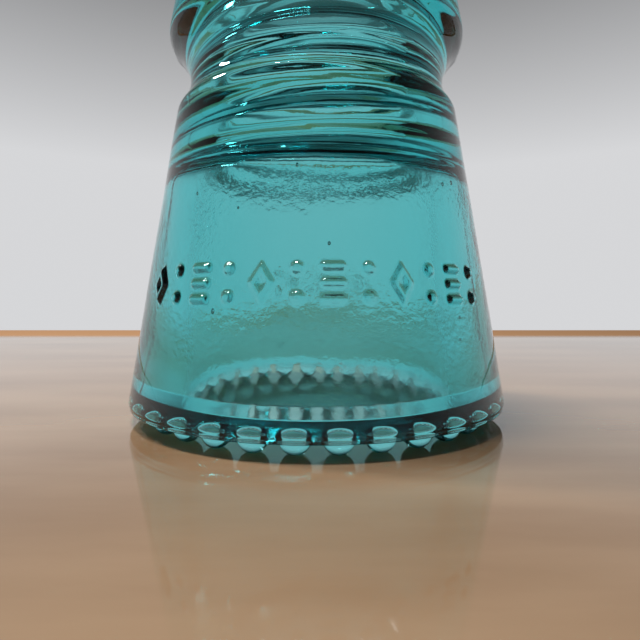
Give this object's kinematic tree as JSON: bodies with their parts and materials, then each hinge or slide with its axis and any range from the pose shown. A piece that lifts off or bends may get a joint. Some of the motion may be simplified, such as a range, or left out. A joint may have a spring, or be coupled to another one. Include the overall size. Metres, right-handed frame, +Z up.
{
  "type": "pin insulator",
  "caption": "Teal pressed-glass pin insulator: a domed crown over a wire groove, a threaded pinhole and a bell-shaped skirt that stands on drip points.",
  "frame": {"origin": "on the surface the insulator stands on, in the middle, under the tips of the drip points", "axes": "+Z up along the pinhole's axis towards the crown; -Y is the front of the skirt with the longer row of marks; +X is the right side seen from the front"},
  "size_m": [0.0576, 0.0572, 0.0891],
  "materials": {
    "teal_glass": "glossy pressed glass, clear teal, slightly wavy with a few seeds; the pinhole and cavity wall are rougher"
  },
  "bodies": {
    "root": {"crown": "teal_glass", "skirt": "teal_glass", "pinhole_thread": "teal_glass", "drip_points": "teal_glass", "skirt_marks": "teal_glass", "side_seams": "teal_glass", "base_seam": "teal_glass"}
  },
  "joints": []
}
